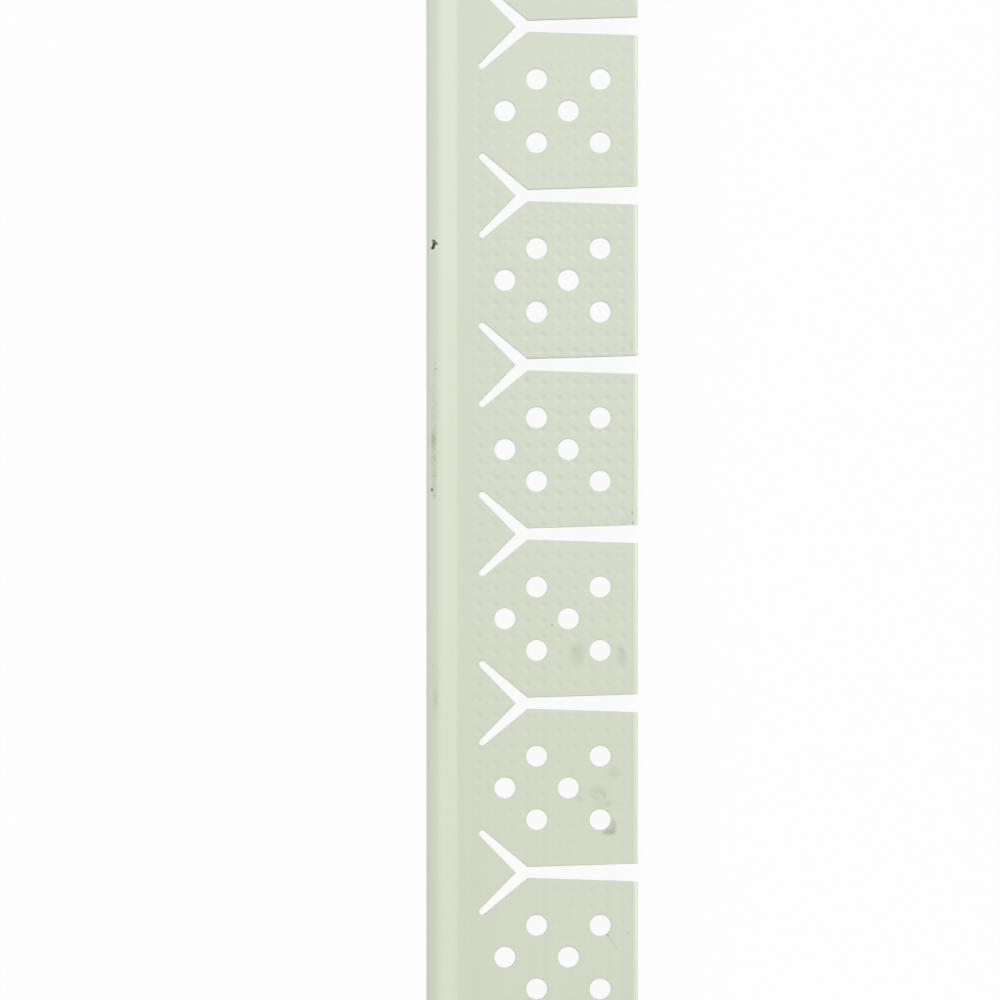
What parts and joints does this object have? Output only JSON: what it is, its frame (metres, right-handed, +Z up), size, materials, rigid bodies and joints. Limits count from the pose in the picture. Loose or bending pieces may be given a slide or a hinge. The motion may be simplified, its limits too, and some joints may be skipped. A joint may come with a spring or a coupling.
{
  "type": "drywall corner bead",
  "caption": "Extruded plastic strip with a rounded nose and two perforated legs at a right angle, one leg slotted into tabs so that it bends around arches, for finishing outside wall corners.",
  "frame": {"origin": "middle of the strip's length and width, on the floor under the nose", "axes": "+X along the strip, +Y from the slotted leg towards the plain perforated leg, +Z up through the nose"},
  "size_m": [2.4384, 0.0422, 0.0236],
  "materials": {
    "pvc": "pale sage, satin, as extruded"
  },
  "bodies": {
    "root": {"corner_bead": "pvc"}
  },
  "joints": []
}
